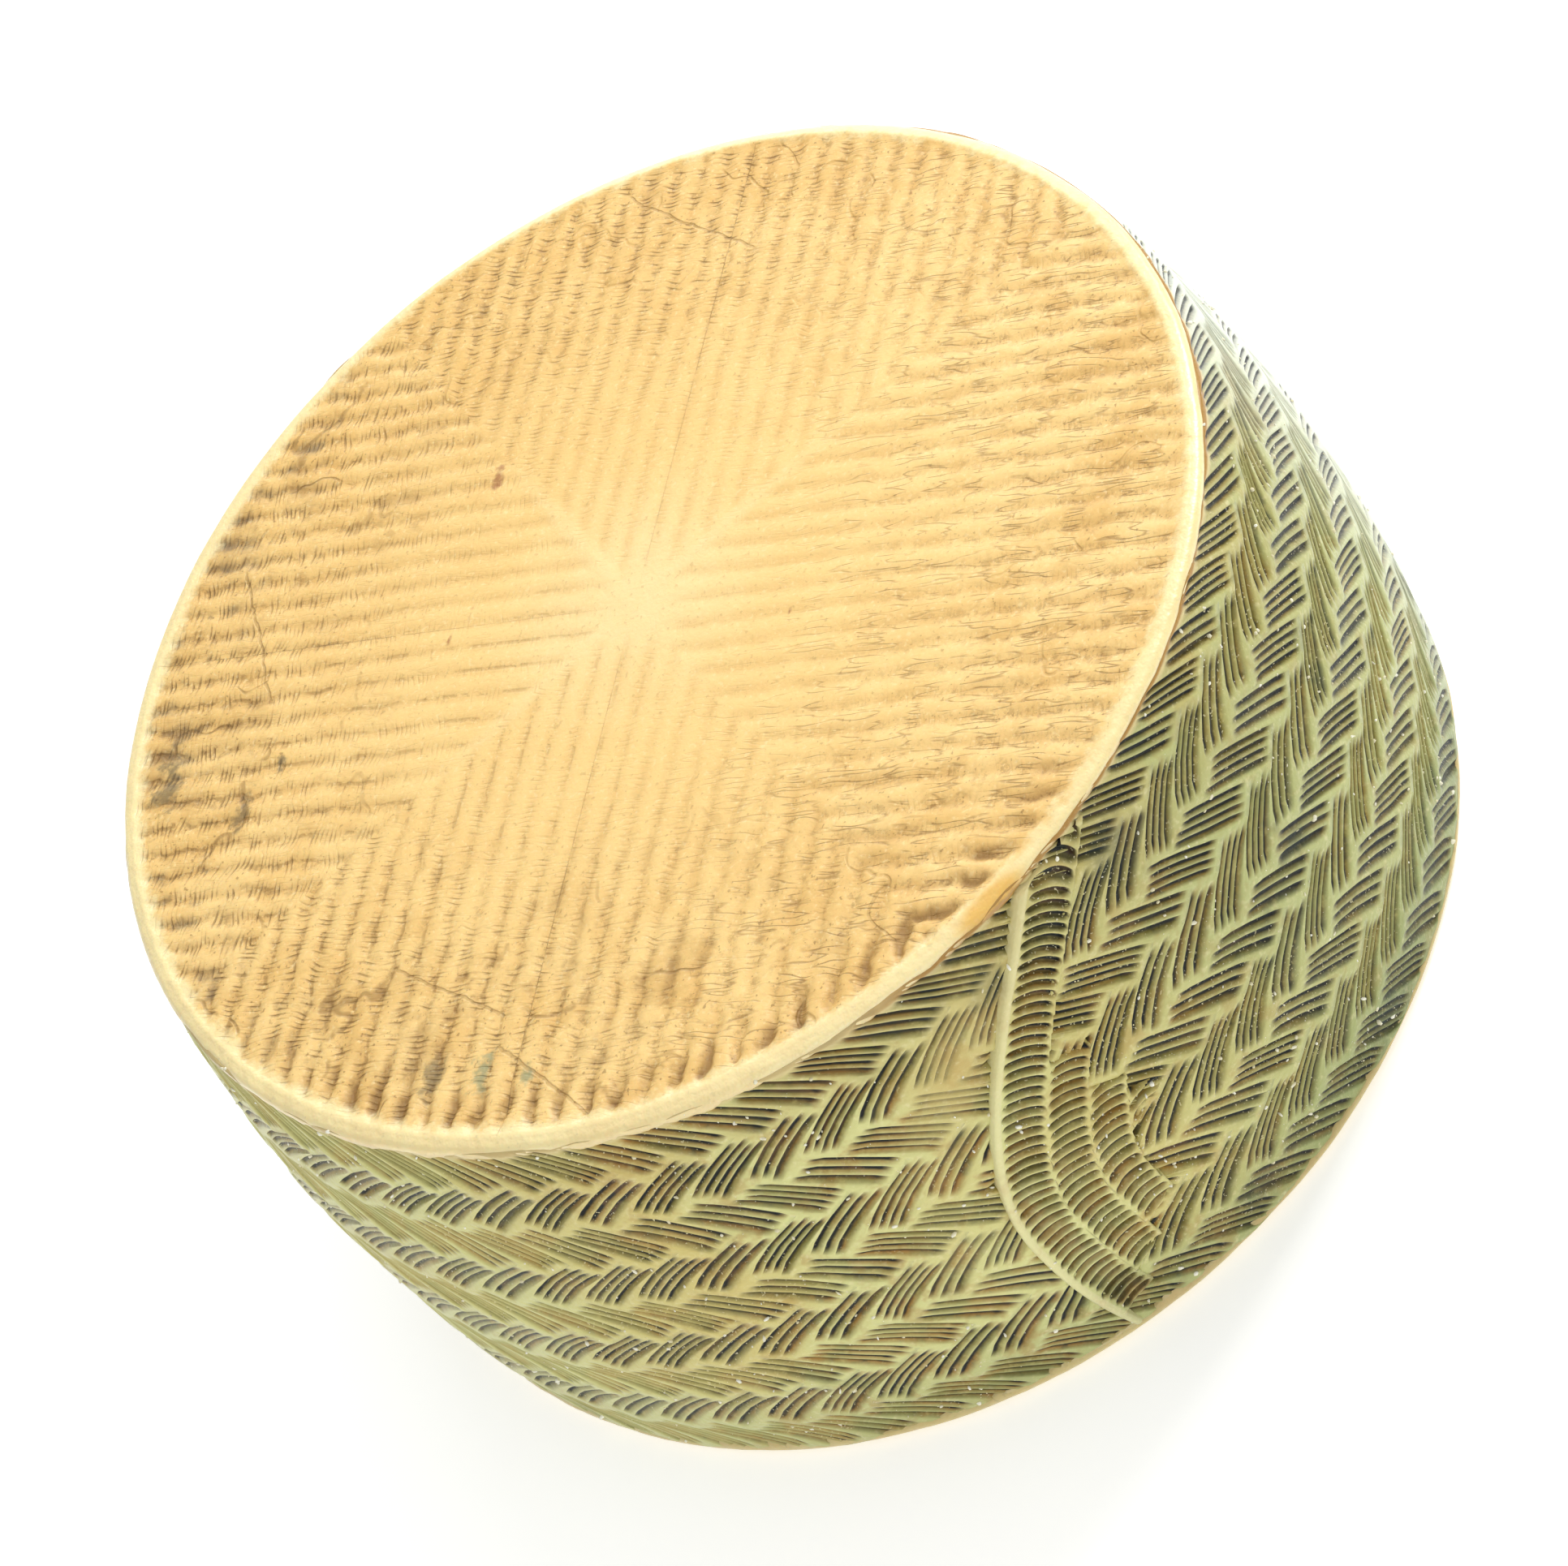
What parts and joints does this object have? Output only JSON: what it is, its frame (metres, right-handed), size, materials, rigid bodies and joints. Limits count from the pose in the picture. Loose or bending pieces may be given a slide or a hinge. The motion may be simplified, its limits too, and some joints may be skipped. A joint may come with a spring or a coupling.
{
  "type": "cheese wheel",
  "caption": "Round pressed hard cheese wheel with a plaited herringbone side, a curved band seam and a flower pattern pressed into its flat faces.",
  "frame": {"origin": "middle of the lower pressed face, on the surface that the wheel rests on", "axes": "+Z along the wheel's axis, from the lower face to the upper one; -Y towards the seam in the plaited side"},
  "size_m": [0.2, 0.2, 0.0895],
  "materials": {
    "rind": "waxy pressed cheese rind, butter yellow on the faces, sage and brown in the plaited side"
  },
  "bodies": {
    "root": {"cheese_wheel": "rind"}
  },
  "joints": []
}
